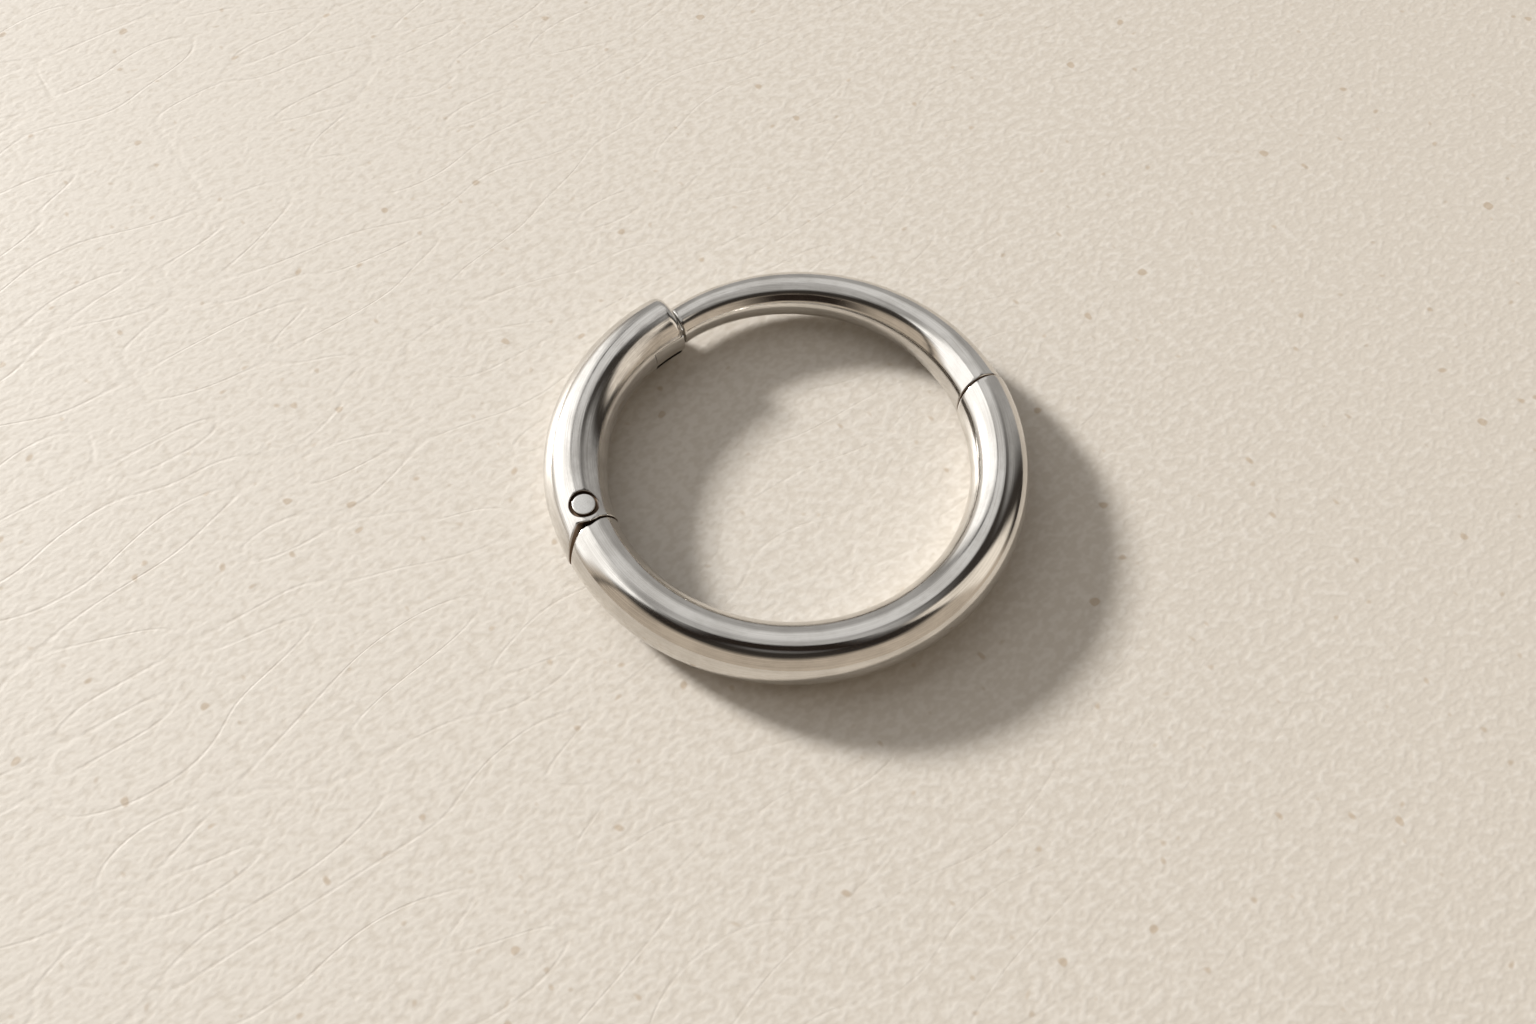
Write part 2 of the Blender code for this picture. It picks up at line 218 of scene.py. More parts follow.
def applyBooleans(thing, steps):
    # steps holds (operation, cutter); the cutters are used up
    for operation, cutter in steps:
        modifier = thing.modifiers.new(cutter.name, "BOOLEAN")
        modifier.operation = operation
        modifier.object = cutter
        modifier.solver = "EXACT"
    graph = bpy.context.evaluated_depsgraph_get()
    mesh = bpy.data.meshes.new_from_object(thing.evaluated_get(graph))
    thing.modifiers.clear()
    old = thing.data
    thing.data = mesh
    bpy.data.meshes.remove(old)
    for _, cutter in steps:
        data = cutter.data
        bpy.data.objects.remove(cutter)
        bpy.data.meshes.remove(data)


sharpAngle = 32                   # degrees; flatter edges are shaded smooth


def smooth(thing):
    thing.data.shade_smooth()
    thing.data.set_sharp_from_angle(angle=radians(sharpAngle))


# residue and painted shade: how far a place lies below the bar's own surface, so that grooves and seams turn
# dark with residue and painted shade
soilAndPaintedShade = dict(
    start=0.005 * mm,
    full=0.018 * mm,
    hingeReach=1.3 * mm,          # on the gate it is near the pin only
    seamReach=1.2 * mm,           # and on the wire near the seam
    colour=(0.15, 0.10, 0.065),
    roughness=0.6,
)


def barDepth(points, arc, radiusAt):
    x = points[:, 0] - ringCentre.x
    y = points[:, 1] - ringCentre.y
    angle = np.degrees(np.arctan2(y, x)) % 360
    bendX, bendY, bend, _ = barFrame(arc, angle)
    reach = np.hypot(points[:, 0] - bendX, points[:, 1] - bendY) - bend
    return radiusAt(angle) - np.hypot(reach, points[:, 2] - ringCentre.z)


def markSoilAndPaintedShade(thing, depth):
    # painted shade with residue: darker the deeper a place lies below the bar's surface
    amount = np.clip((depth - soilAndPaintedShade["start"]) / (soilAndPaintedShade["full"] - soilAndPaintedShade["start"]), 0, 1)
    attribute = thing.data.attributes.new("soilAndPaintedShade", "FLOAT", "POINT")
    attribute.data.foreach_set("value", amount.astype(np.float32))


def vertexPoints(thing):
    flat = np.empty(len(thing.data.vertices) * 3)
    thing.data.vertices.foreach_get("co", flat)
    return flat.reshape(-1, 3)


def nearPoint(points, place, reach):
    return np.hypot(points[:, 0] - place.x, points[:, 1] - place.y) < reach


# hinge: about the pin the gate ends in two lugs and a domed toe on the outer side, and the
# body in a hollow that holds the dome wherever the gate swings
hinge = dict(
    domeRadius=1.12 * mm,
    domeHeight=0.715 * mm,
    toeAngle=73.0,                # degrees from the outward direction round towards the body
    hollowAngle=101.0,
    lugRadius=0.43 * mm,
    gap=0.04 * mm,
    shoulderAlong=0.385 * mm,     # the body's end on the ring's inner side
    shoulderOutward=-0.25 * mm,
    shoulderSkew=6.0,
    blend=0.07 * mm,              # soft inner corners where two of these surfaces meet
    cornerBlend=0.15 * mm,        # and outer ones
)


def hingePoint(along, outward):
    return pinPoint + direction(ring["pinAngle"] + 90) * along + direction(ring["pinAngle"]) * outward


def aboutPin(points):
    # along the ring towards the body, outward, distance from the pin's axis, and height
    x = points[..., 0] - pinPoint.x
    y = points[..., 1] - pinPoint.y
    out = direction(ring["pinAngle"])
    outward = x * out.x + y * out.y
    along = y * out.x - x * out.y
    return along, outward, np.hypot(x, y), points[..., 2] - pinPoint.z


def domeDistance(radius, height, inset):
    # positive inside the dome
    wide = hinge["domeRadius"] - inset
    tall = hinge["domeHeight"] - inset
    place = np.sqrt((radius / wide) ** 2 + (height / tall) ** 2)
    slope = np.sqrt(radius ** 2 / wide ** 4 + height ** 2 / tall ** 4)
    return (1 - place) * place / np.maximum(slope, 1e-9)


def softMaximum(a, b, blend=hinge["blend"]):
    share = np.maximum(blend - np.abs(a - b), 0) / blend
    return np.maximum(a, b) + share * share * blend / 4


def softMinimum(a, b):
    return -softMaximum(-a, -b, hinge["cornerBlend"])


def sectorDistance(along, outward, angle):
    # positive on the outward side of a ray from the pin
    return outward * sin(radians(angle)) - along * cos(radians(angle))


def shoulderDistance(along, outward, gap):
    # positive on the gate's side
    slope = tan(radians(hinge["shoulderSkew"]))
    line = hinge["shoulderAlong"] - gap + slope * (outward - hinge["shoulderOutward"])
    return (line - along) * cos(radians(hinge["shoulderSkew"]))


def barEndDistance(along, outward, gap):
    # positive on the gate's side: to the shoulder on the inner side, elsewhere to the pin
    shoulder = shoulderDistance(along, outward, gap)
    return np.where(outward < hinge["shoulderOutward"], shoulder, -along)


def bodySideDistance(points):
    along, outward, radius, height = aboutPin(points)
    hollow = softMinimum(domeDistance(radius, height, 0.0),
                         sectorDistance(along, outward, hinge["hollowAngle"]))
    lugRoom = hinge["lugRadius"] + hinge["gap"] - radius
    return -softMaximum(softMaximum(hollow, lugRoom), barEndDistance(along, outward, 0.0))


def gateSideDistance(points):
    along, outward, radius, height = aboutPin(points)
    toe = softMinimum(domeDistance(radius, height, hinge["gap"]),
                      sectorDistance(along, outward, hinge["toeAngle"]))
    lug = hinge["lugRadius"] - radius
    return softMaximum(softMaximum(toe, lug), barEndDistance(along, outward, hinge["gap"]))


# seam between body and ear wire: a leaning plane
seam = dict(skew=9.0, lean=15.0, gap=0.05 * mm, search=(-15, 15))
seamMiddle = ringCentre + direction(ring["seamAngle"]) * ring["radius"]
seamAlong = (direction(ring["seamAngle"] + seam["skew"] + 90) * cos(radians(seam["lean"]))
             - Vector((0, 0, sin(radians(seam["lean"])))))


def seamDistance(points):
    return (points - np.array(seamMiddle)) @ np.array(seamAlong)


# body: the thick lower and right-hand bar
body = dict(
    radius=0.645 * mm,
    sides=128,
    step=0.8,                     # degrees between sections
    hingeRounding=0.022 * mm,
    hingeSearch=(-2, 22),         # degrees past the pin between which this end lies
    seamRounding=0.032 * mm,
    rimSteps=4,
    knuckleRadius=0.44 * mm,
    knuckleHalfHeight=0.34 * mm,
    knuckleRounding=0.10 * mm,
    knuckleSteps=6,
    knuckleSides=64,
    neckLength=0.80 * mm,
    neckInner=-0.42 * mm,         # edges of the neck, outward from the pin
    neckOuter=-0.16 * mm,
    neckHalfHeight=0.30 * mm,
    pinHoleRadius=0.21 * mm,
    pinHoleReach=1.0 * mm,
    pinHoleSides=48,
)


def makeKnuckle(name, gap):
    corner = roundedCorner(body["knuckleRadius"] + gap, body["knuckleHalfHeight"] + gap,
                           body["knuckleRounding"], body["knuckleSteps"])
    return makeTurned(name, withLowerHalf(corner), body["knuckleSides"])


def makeNeck(name, gap):
    length = body["neckLength"]
    inner = body["neckInner"] - gap
    outer = body["neckOuter"] + gap
    outline = [hingePoint(0, inner), hingePoint(length, inner),
               hingePoint(length, outer), hingePoint(0, outer)]
    return makePrism(name, outline, body["neckHalfHeight"] + gap)


def makePinHole(name):
    ends = (-body["pinHoleReach"], body["pinHoleReach"])
    return makeTurned(name, [(body["pinHoleRadius"], height) for height in ends], body["pinHoleSides"])


def makeBody():
    path = dict(arc=bodyArc, radiusAt=lambda angle: np.full(np.shape(angle), body["radius"]))
    first = dict(distance=bodySideDistance, between=near(ring["pinAngle"], body["hingeSearch"]),
                 insideIsHigher=True, rounding=body["hingeRounding"], rimSteps=body["rimSteps"],
                 faceShares=hingeFaceShares)
    last = dict(distance=lambda points: -seamDistance(points) - seam["gap"] / 2,
                between=near(360 + ring["seamAngle"], seam["search"]),
                insideIsHigher=False, rounding=body["seamRounding"], rimSteps=body["rimSteps"],
                faceShares=plainFaceShares)
    thing = makeBar("hoopBody", path, first, last, body["sides"], body["step"])
    applyBooleans(thing, [
        ("UNION", makeNeck("neck", 0.0)),
        ("UNION", makeKnuckle("knuckle", 0.0)),
        ("DIFFERENCE", makePinHole("knuckleHole")),
    ])
    smooth(thing)
    markSoilAndPaintedShade(thing, barDepth(vertexPoints(thing), bodyArc, path["radiusAt"]))
    return thing


# ear wire: tapers to the tip, ends in a flat tongue that lies in the gate's slot
wire = dict(
    seamRadius=0.61 * mm,
    tipRadius=0.42 * mm,
    sides=96,
    step=0.8,
    seamRounding=0.045 * mm,
    seamRimSteps=5,
    tipRounding=0.03 * mm,
    tipRimSteps=3,
    tipSearch=(-12, 12),
    tongueLength=1.00 * mm,
    tongueRoot=0.25 * mm,
    tongueHalfHeight=0.25 * mm,
    tongueInner=-0.45 * mm,       # edges of the tongue, outward from the gate's middle line
    tongueOuter=0.08 * mm,
    tongueSteps=12,
    tongueInset=0.03 * mm,        # the tongue stays this far inside the gate's round surface
    insideSpan=(-6, 20),          # degrees of that surface, past the gate's end
    insideSections=53,
)
endX, endY, _, endOut = barFrame(gateArc, ring["gateEndAngle"])
gateEnd = degrees(endOut)         # the gate's free end, seen from its arc's own centre
gateCentre = Vector((endX, endY, ringCentre.z))
arcDegrees = degrees(1 / ring["gateArcRadius"])


def gatePlanPoint(depth, outward):
    # depth past the gate's free end, and outward from its middle line
    return gateCentre + direction(gateEnd + depth * arcDegrees) * (ring["gateArcRadius"] + outward)


def gateEndDistance(points):
    # how far into the gate's side of its free end face
    normal = direction(gateEnd + 90)
    middle = gatePlanPoint(0.0, 0.0)
    return (points[..., 0] - middle.x) * normal.x + (points[..., 1] - middle.y) * normal.y


def tongueOutline(slot):
    gap = gate["runningGap"] if slot else 0.0
    root = -wire["tongueRoot"]
    outer = wire["tongueOuter"] + gap
    deep = -2 * gate["radius"]    # well past the gate's inner side
    steps = wire["tongueSteps"]
    depths = [wire["tongueLength"] * i / steps for i in range(steps + 1)]
    depths[-1] += gap
    outside = [gatePlanPoint(depth, outer) for depth in [root] + depths]
    if slot:
        return outside + [gatePlanPoint(depth, deep) for depth in reversed([root] + depths)]
    step = [gatePlanPoint(seam["gap"], deep), gatePlanPoint(seam["gap"], wire["tongueInner"]),
            gatePlanPoint(root, wire["tongueInner"])]
    return outside + [gatePlanPoint(depth, deep) for depth in reversed(depths[1:])] + step


def gateSection(angle, radius, sides):
    # a round section of the gate's bar
    out = direction(angle)
    up = Vector((0, 0, 1))
    middle = gateCentre + out * ring["gateArcRadius"]
    turns = [2 * pi * i / sides for i in range(sides)]
    return [middle + out * (radius * cos(turn)) + up * (radius * sin(turn)) for turn in turns]


def makeTongue():
    tongue = makePrism("tongue", tongueOutline(False), wire["tongueHalfHeight"])
    radius = gate["radius"] - wire["tongueInset"]
    inside = makeLoft("tongueInside", [
        gateSection(gateEnd + angle, radius, wire["sides"])
        for angle in np.linspace(*wire["insideSpan"], wire["insideSections"])])
    applyBooleans(tongue, [("INTERSECT", inside)])
    return tongue


def wireRadius(angle):
    share = (angle - ring["seamAngle"]) / (ring["gateEndAngle"] - ring["seamAngle"])
    return wire["seamRadius"] + (wire["tipRadius"] - wire["seamRadius"]) * share


def makeWire():
    path = dict(arc=wireArc, radiusAt=wireRadius)
    first = dict(distance=lambda points: seamDistance(points) - seam["gap"] / 2,
                 between=near(ring["seamAngle"], seam["search"]), insideIsHigher=True,
                 rounding=wire["seamRounding"], rimSteps=wire["seamRimSteps"], faceShares=plainFaceShares)
    last = dict(distance=lambda points: -gateEndDistance(points) - seam["gap"],
                between=near(ring["gateEndAngle"], wire["tipSearch"]), insideIsHigher=False,
                rounding=wire["tipRounding"], rimSteps=wire["tipRimSteps"], faceShares=plainFaceShares)
    thing = makeBar("earWire", path, first, last, wire["sides"], wire["step"])
    applyBooleans(thing, [("UNION", makeTongue())])
    smooth(thing)
    points = vertexPoints(thing)
    depth = barDepth(points, wireArc, wireRadius)
    markSoilAndPaintedShade(thing, np.where(nearPoint(points, seamMiddle, soilAndPaintedShade["seamReach"]), depth, 0))
    return thing


# gate: the thick sleeve, with the pin's recess on its crest and the latch slot at its free end
gate = dict(
    radius=0.695 * mm,
    hingeRadius=0.66 * mm,
    taperAngle=16.0,
    sides=128,
    step=0.6,
    endRounding=0.18 * mm,
    endRimSteps=10,
    endSearch=(-6, 12),
    hingeRounding=0.018 * mm,
    hingeRimSteps=4,
    hingeSearch=(-4, 16),
    recessRadius=0.315 * mm,
    recessFloor=0.54 * mm,
    recessAbove=0.3 * mm,         # the cutter reaches this far above the crest
    recessSides=96,
    # the recess's rim: wider than its radius and deeper than the crest, both in mm
    recessRim=((0.0, 0.038), (0.0, 0.024), (0.002, 0.014), (0.007, 0.006), (0.015, 0.001),
               (0.026, -0.002)),
    runningGap=0.04 * mm,
)


def gateRadius(angle):
    share = np.clip(1 - (ring["pinAngle"] - angle) / gate["taperAngle"], 0, 1)
    return gate["radius"] + (gate["hingeRadius"] - gate["radius"]) * share ** 2


def crestHeight(point):
    # of the gate's surface over a plan point near the pin
    x = point.x - ringCentre.x
    y = point.y - ringCentre.y
    angle = degrees(atan2(y, x)) % 360
    return sqrt(gateRadius(angle) ** 2 - (sqrt(x * x + y * y) - ring["radius"]) ** 2)


def recessCutter(name, side):
    # follows the rounded crest, so that the recess has the same soft rim all the way round
    sides = gate["recessSides"]
    ways = [direction(360 * i / sides) for i in range(sides)]
    floorLift = Vector((0, 0, gate["recessFloor"] * side))
    rings = [[pinPoint + way * gate["recessRadius"] + floorLift for way in ways]]
    for wider, deeper in gate["recessRim"]:
        loop = []
        for way in ways:
            point = pinPoint + way * (gate["recessRadius"] + wider * mm)
            loop.append(point + Vector((0, 0, (crestHeight(point) - deeper * mm) * side)))
        rings.append(loop)
    rings.append([point + Vector((0, 0, gate["recessAbove"] * side)) for point in rings[-1]])
    return makeLoft(name, rings)


def makeGate():
    path = dict(arc=gateArc, radiusAt=gateRadius)
    first = dict(distance=gateEndDistance, between=near(ring["gateEndAngle"], gate["endSearch"]),
                 insideIsHigher=True, rounding=gate["endRounding"], rimSteps=gate["endRimSteps"],
                 faceShares=plainFaceShares)
    last = dict(distance=gateSideDistance, between=near(ring["pinAngle"], gate["hingeSearch"]),
                insideIsHigher=False, rounding=gate["hingeRounding"], rimSteps=gate["hingeRimSteps"],
                faceShares=hingeFaceShares)
    thing = makeBar("clickerGate", path, first, last, gate["sides"], gate["step"])
    slotHalfHeight = wire["tongueHalfHeight"] + gate["runningGap"]
    applyBooleans(thing, [
        ("DIFFERENCE", makeKnuckle("pocket", gate["runningGap"])),
        ("DIFFERENCE", makeNeck("neckRoom", gate["runningGap"])),
        ("DIFFERENCE", makePinHole("gateHole")),
        ("DIFFERENCE", recessCutter("recessAbove", 1)),
        ("DIFFERENCE", recessCutter("recessBelow", -1)),
        ("DIFFERENCE", makePrism("slot", tongueOutline(True), slotHalfHeight)),
    ])
    smooth(thing)
    points = vertexPoints(thing)
    depth = barDepth(points, gateArc, gateRadius)
    markSoilAndPaintedShade(thing, np.where(nearPoint(points, pinPoint, soilAndPaintedShade["hingeReach"]), depth, 0))
    return thing


# pin: a rivet whose flat head sits in the recess
pin = dict(
    shaftRadius=0.17 * mm,
    headRadius=0.245 * mm,
    underHead=0.555 * mm,
    headTop=0.645 * mm,
    rounding=0.016 * mm,
    roundingSteps=5,
    crown=0.004 * mm,             # how far the head bulges
    crownShares=(0.8, 0.55, 0.3, 0.08),
    sides=96,
)


def makePin():
    radius = pin["headRadius"]
    top = pin["headTop"]
    upper = [(pin["shaftRadius"], pin["underHead"]), (radius, pin["underHead"]),
             (radius, top - 2 * pin["rounding"])]
    upper += roundedCorner(radius, top, pin["rounding"], pin["roundingSteps"])
    upper += [(radius * share, top + pin["crown"] * (1 - share ** 2)) for share in pin["crownShares"]]
    thing = makeTurned("hingePin", withLowerHalf(upper), pin["sides"])
    smooth(thing)
    # painted shade and residue on the head's rim and below it
    markSoilAndPaintedShade(thing, top - np.abs(vertexPoints(thing)[:, 2] - pinPoint.z))
    return thing


# shader helpers

def feed(tree, socket, value):
    # a socket takes another node's output or a constant
    if isinstance(value, bpy.types.NodeSocket):
        tree.links.new(value, socket)
    else:
        socket.default_value = value


def mathNode(tree, operation, *values, kind="ShaderNodeMath"):
    node = tree.nodes.new(kind)
    node.operation = operation
    for socket, value in zip(node.inputs, values):
        feed(tree, socket, value)
    return node.outputs[0]


def vectorNode(tree, operation, *values):
    return mathNode(tree, operation, *values, kind="ShaderNodeVectorMath")


def weightedSum(tree, a, shareOfA, b, shareOfB):
    return mathNode(tree, "ADD", mathNode(tree, "MULTIPLY", a, shareOfA),
                    mathNode(tree, "MULTIPLY", b, shareOfB))


def mapRange(tree, value, fromLow, fromHigh, toLow, toHigh, kind="LINEAR"):
    node = tree.nodes.new("ShaderNodeMapRange")
    node.interpolation_type = kind
    for socket, item in zip(node.inputs, (value, fromLow, fromHigh, toLow, toHigh)):
        feed(tree, socket, item)
    return node.outputs[0]


def joinXYZ(tree, *values):
    node = tree.nodes.new("ShaderNodeCombineXYZ")
    for socket, value in zip(node.inputs, values):
        feed(tree, socket, value)
    return node.outputs[0]


def splitXYZ(tree, vector):
    node = tree.nodes.new("ShaderNodeSeparateXYZ")
    tree.links.new(vector, node.inputs[0])
    return node.outputs


def turnAboutZ(tree, vector, angle):
    node = tree.nodes.new("ShaderNodeVectorRotate")
    node.rotation_type = "Z_AXIS"
    tree.links.new(vector, node.inputs["Vector"])
    feed(tree, node.inputs["Angle"], angle)
    return node.outputs[0]


def noise(tree, vector, scale, detail, roughness):
    node = tree.nodes.new("ShaderNodeTexNoise")
    tree.links.new(vector, node.inputs["Vector"])
    node.inputs["Scale"].default_value = scale
    node.inputs["Detail"].default_value = detail
    node.inputs["Roughness"].default_value = roughness
    return node.outputs["Fac"]


def mixColour(tree, factor, a, b):
    # inputs 6 and 7 and output 2 are the node's colour sockets
    node = tree.nodes.new("ShaderNodeMix")
    node.data_type = "RGBA"
    node.clamp_result = False
    for index, value in ((0, factor), (6, a), (7, b)):
        feed(tree, node.inputs[index], (*value, 1.0) if isinstance(value, tuple) else value)
    return node.outputs[2]


def bump(tree, height, distance):
    node = tree.nodes.new("ShaderNodeBump")
    node.inputs["Strength"].default_value = 1.0
    node.inputs["Distance"].default_value = distance
    tree.links.new(height, node.inputs["Height"])
    return node.outputs[0]


def newMaterial(name):
    material = bpy.data.materials.new(name)
    material.use_nodes = True
    return material, material.node_tree, material.node_tree.nodes["Principled BSDF"]


def newGroup(name, inputs, outputs):
    # inputs holds (title, kind, default or None), outputs (title, kind)
    group = bpy.data.node_groups.new(name, "ShaderNodeTree")
    for title, kind, value in inputs:
        socket = group.interface.new_socket(name=title, in_out="INPUT", socket_type="NodeSocket" + kind)
        if value is not None:
            socket.default_value = value
    for title, kind in outputs:
        group.interface.new_socket(name=title, in_out="OUTPUT", socket_type="NodeSocket" + kind)
    return group, group.nodes.new("NodeGroupInput").outputs, group.nodes.new("NodeGroupOutput").inputs


def placeGroup(tree, group, values):
    node = tree.nodes.new("ShaderNodeGroup")
    node.node_tree = group
    for title, value in values.items():
        feed(tree, node.inputs[title], value)
    return node.outputs


def buildBarCoordinates():
    # along the bar, outward from its middle line and up, in millimetres
    group, given, out = newGroup("barCoordinates", [
        ("Centre", "Vector", None), ("Middle Angle", "Float", 0.0)], [("Along", "Vector")])
    place = group.nodes.new("ShaderNodeTexCoord").outputs["Object"]
    fromCentre = vectorNode(group, "SUBTRACT", place, given["Centre"])
    backwards = mathNode(group, "MULTIPLY", given["Middle Angle"], -1.0)
    x, y, z = splitXYZ(group, turnAboutZ(group, fromCentre, backwards))
    angle = mathNode(group, "ARCTAN2", y, x)
    squares = [mathNode(group, "MULTIPLY", value, value) for value in (x, y)]
    reach = mathNode(group, "SQRT", mathNode(group, "ADD", *squares))
    along = joinXYZ(group, mathNode(group, "MULTIPLY", angle, ring["radius"] / mm),
                    mathNode(group, "MULTIPLY", reach, 1 / mm), mathNode(group, "MULTIPLY", z, 1 / mm))
    group.links.new(along, out["Along"])
    return group


# polish: fine lines along the bar, a soft waviness and faint smudges
polish = dict(
    lineNoise=(3.0, 0.6),         # detail and roughness of each noise
    lineRange=(0.36, 0.64),
    coarseStretch=(0.4, 0.25, 0.25),   # along the bar, outward and up
    coarseNoise=(2.0, 0.5),
    waveStretch=(0.45, 1.1, 1.1),
    waveNoise=(1.0, 0.4),
    smudgeStretch=(0.9, 1.6, 1.6),
    smudgeNoise=(4.0, 0.62),
    smudgeRange=(0.36, 0.66),
    dullByLines=0.55,
    dullBySmudges=0.45,
    darkByLines=0.4,
    darkBySmudges=0.6,
    reliefOfLines=0.35,
    reliefOfCoarse=1.0,
    reliefUnit=0.001 * mm,
)


def buildPolishMarks():
    group, given, out = newGroup("polishMarks", [
        ("Along", "Vector", None), ("Line Length", "Float", 1.6), ("Line Width", "Float", 0.02),
        ("Line Depth", "Float", 1.0), ("Waviness", "Float", 1.0), ("Smooth", "Float", 0.10),
        ("Dull", "Float", 0.24), ("Bright Steel", "Color", (0.80, 0.775, 0.74, 1)),
        ("Dark Steel", "Color", (0.59, 0.565, 0.53, 1))],
        [("Colour", "Color"), ("Roughness", "Float"), ("Height", "Float")])

    def stretchedNoise(vector, stretch, detailAndRoughness):
        return noise(group, vectorNode(group, "MULTIPLY", vector, stretch), 1.0, *detailAndRoughness)

    inverse = mathNode(group, "DIVIDE", 1.0, given["Line Length"])
    across = mathNode(group, "DIVIDE", 1.0, given["Line Width"])
    drawn = vectorNode(group, "MULTIPLY", given["Along"], joinXYZ(group, inverse, across, across))
    lines = noise(group, drawn, 1.0, *polish["lineNoise"])
    coarse = stretchedNoise(drawn, polish["coarseStretch"], polish["coarseNoise"])
    waves = stretchedNoise(given["Along"], polish["waveStretch"], polish["waveNoise"])
    smudges = stretchedNoise(given["Along"], polish["smudgeStretch"], polish["smudgeNoise"])
    smudge = mapRange(group, smudges, *polish["smudgeRange"], 0.0, 1.0, "SMOOTHSTEP")
    fine = mapRange(group, lines, *polish["lineRange"], 0.0, 1.0)

    dull = weightedSum(group, fine, polish["dullByLines"], smudge, polish["dullBySmudges"])
    dark = weightedSum(group, fine, polish["darkByLines"], smudge, polish["darkBySmudges"])
    relief = weightedSum(group, lines, polish["reliefOfLines"], coarse, polish["reliefOfCoarse"])
    height = weightedSum(group, relief, given["Line Depth"], waves, given["Waviness"])
    roughness = mapRange(group, dull, 0.0, 1.0, given["Smooth"], given["Dull"])
    group.links.new(mixColour(group, dark, given["Bright Steel"], given["Dark Steel"]), out["Colour"])
    group.links.new(roughness, out["Roughness"])
    group.links.new(height, out["Height"])
    return group


def buildSoilAndPaintedShade():
    # dark, dull residue and painted shade by a mask
    group, given, out = newGroup("soilingAndPaintedShade", [
        ("Mask", "Float", 0.0), ("Clean Colour", "Color", None), ("Clean Roughness", "Float", 0.1),
        ("Soil And Painted Shade Colour", "Color", None), ("Soil And Painted Shade Roughness", "Float", 0.6)],
        [("Colour", "Color"), ("Roughness", "Float")])
    colour = mixColour(group, given["Mask"], given["Clean Colour"], given["Soil And Painted Shade Colour"])
    roughness = mapRange(group, given["Mask"], 0.0, 1.0, given["Clean Roughness"], given["Soil And Painted Shade Roughness"])
    group.links.new(colour, out["Colour"])
    group.links.new(roughness, out["Roughness"])
    return group


barCoordinates = buildBarCoordinates()
polishMarks = buildPolishMarks()
soilingAndPaintedShade = buildSoilAndPaintedShade()

# middle: the angle of the bar's own middle, so that its coordinates jump on the ring's far side
steelLooks = {
    "bodySteel": dict(middle=295.0, look={
        "Line Length": 1.8, "Line Width": 0.020, "Line Depth": 1.3,
        "Waviness": 2.2, "Smooth": 0.05, "Dull": 0.15}),
    "wireSteel": dict(middle=77.0, look={
        "Line Length": 1.8, "Line Width": 0.020, "Line Depth": 1.1,
        "Waviness": 2.2, "Smooth": 0.05, "Dull": 0.15}),
    "gateSteel": dict(middle=165.0, look={
        "Line Length": 1.2, "Line Width": 0.022, "Line Depth": 1.8,
        "Waviness": 2.6, "Smooth": 0.07, "Dull": 0.20,
        "Dark Steel": (0.51, 0.485, 0.455, 1)}),
    "pinSteel": dict(middle=200.0, look={
        "Line Length": 0.03, "Line Width": 0.02, "Line Depth": 0.9,
        "Waviness": 0.2, "Smooth": 0.30, "Dull": 0.42,
        "Bright Steel": (0.72, 0.71, 0.69, 1), "Dark Steel": (0.44, 0.43, 0.41, 1)}),
}


def makeSteel(name, middle, look):
    material, tree, shader = newMaterial(name)
    place = placeGroup(tree, barCoordinates, {
        "Centre": tuple(ringCentre), "Middle Angle": radians(middle)})
    marks = placeGroup(tree, polishMarks, {"Along": place["Along"], **look})
    # painted shade and residue in grooves, seams and about the hinge, from each point's depth
    mask = tree.nodes.new("ShaderNodeAttribute")
    mask.attribute_name = "soilAndPaintedShade"
    finish = placeGroup(tree, soilingAndPaintedShade, {
        "Mask": mask.outputs["Fac"], "Clean Colour": marks["Colour"],
        "Clean Roughness": marks["Roughness"], "Soil And Painted Shade Colour": (*soilAndPaintedShade["colour"], 1.0),
        "Soil And Painted Shade Roughness": soilAndPaintedShade["roughness"]})
    shader.inputs["Metallic"].default_value = 1.0
    tree.links.new(finish["Colour"], shader.inputs["Base Color"])
    tree.links.new(finish["Roughness"], shader.inputs["Roughness"])
    tree.links.new(bump(tree, marks["Height"], polish["reliefUnit"]), shader.inputs["Normal"])
    return material


def dressPieces():
    rows = (("hoop_body", makeBody, "bodySteel", "hoop", "body_steel"),
            ("ear_wire", makeWire, "wireSteel", "hoop", "wire_steel"),
            ("clicker_gate", makeGate, "gateSteel", "gate", "gate_steel"),
            ("hinge_pin", makePin, "pinSteel", "gate", "pin_steel"))
    for node, make, steel, bodyName, slotName in rows:
        thing = make()
        thing.data.materials.clear()
        thing.data.materials.append(makeSteel(steel, **steelLooks[steel]))
        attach(thing, bodyName)
        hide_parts(node)
        print("made", thing.name, len(thing.data.polygons), "faces")


# floor: a wide pale sheet like rough paper or hide: fine grain, a few creases, tiny specks, and a painted
# sheen that lightens it to the left
floor = dict(
    size=0.5,
    colour=(0.468, 0.427, 0.376),
    light=(0.518, 0.481, 0.434),
    specular=0.25,
    turn=-38.0,                   # degrees; grain and creases are drawn out this way
    grainStretch=(0.75, 1.0, 1.0),
    grainNoise=(5400.0, 1.0, 0.7),     # scale, detail and roughness of each noise
    grainRange=(0.3, 0.7),
    grainShade=(-0.9, 0.9),
    grainRoughness=(0.60, 0.48),
    grainHeight=0.011 * mm,
    creaseStretch=(0.35, 1.0, 1.0),
    creaseNoise=(800.0, 0.0, 0.5),
    creaseMiddle=0.5,             # value of the noise along a crease, and how far it spreads
    creaseSpread=0.02,
    creaseDepth=0.0035 * mm,
    speckNoise=(2900.0, 0.0, 0.5),
    speckRange=(0.76, 0.86),
    speckAmount=0.6,
    speck=(0.34, 0.26, 0.18),
    leftPaintedSheen=0.5,                # painted sheen: lighter, and more creased, to the left by this share,
    leftSpan=0.016,               # in metres each way from the middle
)


